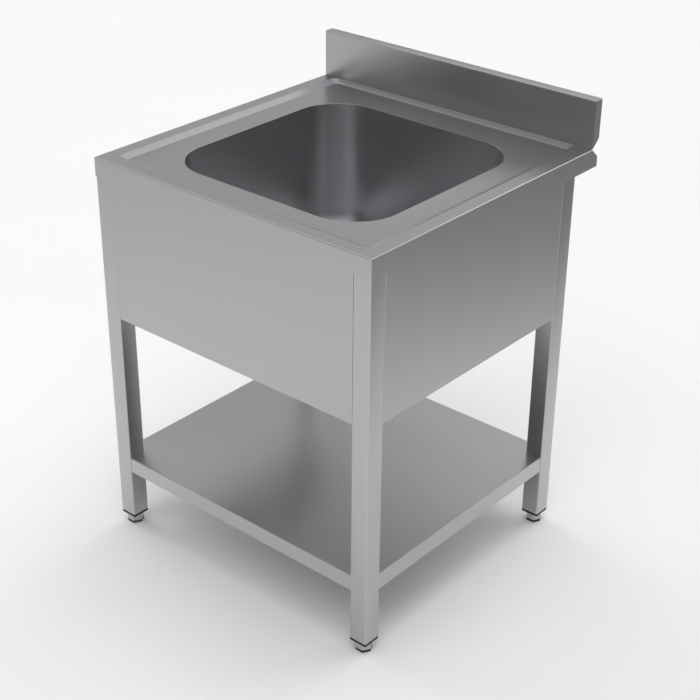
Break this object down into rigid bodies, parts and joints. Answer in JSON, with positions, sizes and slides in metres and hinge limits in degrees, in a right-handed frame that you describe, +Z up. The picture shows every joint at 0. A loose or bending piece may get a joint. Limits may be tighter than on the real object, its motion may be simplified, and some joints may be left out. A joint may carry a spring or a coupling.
{
  "type": "utility laundry sink",
  "caption": "Free-standing steel sink table: recessed worktop with splashback, one deep square bowl, aprons, undershelf and levelling feet.",
  "frame": {"origin": "middle of the footprint's box, on the floor under the glides", "axes": "+Z up, +Y towards the wall behind the splashback, +X to the right when standing at the front"},
  "size_m": [0.7, 0.7, 0.95],
  "materials": {
    "brushed_sheet": "brushed stainless sheet",
    "drawn_sheet": "drawn and brushed stainless sheet",
    "square_tube": "brushed along the tube",
    "turned_steel": "bright turned steel",
    "black_plastic": "moulded, slightly glossy",
    "waste_plastic": "moulded",
    "seal_rubber": "matt",
    "turned_brass": "turned"
  },
  "bodies": {
    "table": {"worktop": "brushed_sheet", "splash_cap_left": "brushed_sheet", "splash_cap_right": "brushed_sheet", "rear_edge": "brushed_sheet", "bowl": "drawn_sheet", "deck_rib_left": "brushed_sheet", "deck_rib_right": "brushed_sheet", "apron_front": "brushed_sheet", "apron_left": "brushed_sheet", "apron_right": "brushed_sheet", "rear_rail": "square_tube", "leg_front_left": "square_tube", "leg_front_right": "square_tube", "leg_rear_left": "square_tube", "leg_rear_right": "square_tube", "undershelf": "brushed_sheet", "shelf_rib": "brushed_sheet", "insert_front_left": "black_plastic", "insert_front_right": "black_plastic", "insert_rear_left": "black_plastic", "insert_rear_right": "black_plastic", "bush_front_left": "turned_steel", "bush_front_right": "turned_steel", "bush_rear_left": "turned_steel", "bush_rear_right": "turned_steel", "waste_strainer": "turned_steel", "strainer_screw": "turned_steel", "waste_top_seal": "seal_rubber", "waste_lower_seal": "seal_rubber", "waste_body": "waste_plastic", "screw_insert": "turned_brass"},
    "glide_front_left": {"glide_front_left": "black_plastic"},
    "foot_front_left": {"foot_front_left": "turned_steel"},
    "glide_front_right": {"glide_front_right": "black_plastic"},
    "foot_front_right": {"foot_front_right": "turned_steel"},
    "glide_rear_left": {"glide_rear_left": "black_plastic"},
    "foot_rear_left": {"foot_rear_left": "turned_steel"},
    "glide_rear_right": {"glide_rear_right": "black_plastic"},
    "foot_rear_right": {"foot_rear_right": "turned_steel"}
  },
  "joints": [
    {"name": "front_left_rise", "type": "slide", "parent": "table", "child": "glide_front_left", "axis": [0, 0, -1], "range_m": [0, 0.03]},
    {"name": "front_left_turn", "type": "hinge", "parent": "glide_front_left", "child": "foot_front_left", "pos_m": [-0.329, -0.329, 0], "axis": [0, 0, -1], "range_deg": [0, 7200]},
    {"name": "front_right_rise", "type": "slide", "parent": "table", "child": "glide_front_right", "axis": [0, 0, -1], "range_m": [0, 0.03]},
    {"name": "front_right_turn", "type": "hinge", "parent": "glide_front_right", "child": "foot_front_right", "pos_m": [0.329, -0.329, 0], "axis": [0, 0, -1], "range_deg": [0, 7200]},
    {"name": "rear_left_rise", "type": "slide", "parent": "table", "child": "glide_rear_left", "axis": [0, 0, -1], "range_m": [0, 0.03]},
    {"name": "rear_left_turn", "type": "hinge", "parent": "glide_rear_left", "child": "foot_rear_left", "pos_m": [-0.329, 0.253, 0], "axis": [0, 0, -1], "range_deg": [0, 7200]},
    {"name": "rear_right_rise", "type": "slide", "parent": "table", "child": "glide_rear_right", "axis": [0, 0, -1], "range_m": [0, 0.03]},
    {"name": "rear_right_turn", "type": "hinge", "parent": "glide_rear_right", "child": "foot_rear_right", "pos_m": [0.329, 0.253, 0], "axis": [0, 0, -1], "range_deg": [0, 7200]}
  ],
  "couplings": [
    {"joint": "front_left_turn", "follows": "front_left_rise", "rad_per_m": 4188.8},
    {"joint": "front_right_turn", "follows": "front_right_rise", "rad_per_m": 4188.8},
    {"joint": "rear_left_turn", "follows": "rear_left_rise", "rad_per_m": 4188.8},
    {"joint": "rear_right_turn", "follows": "rear_right_rise", "rad_per_m": 4188.8}
  ]
}
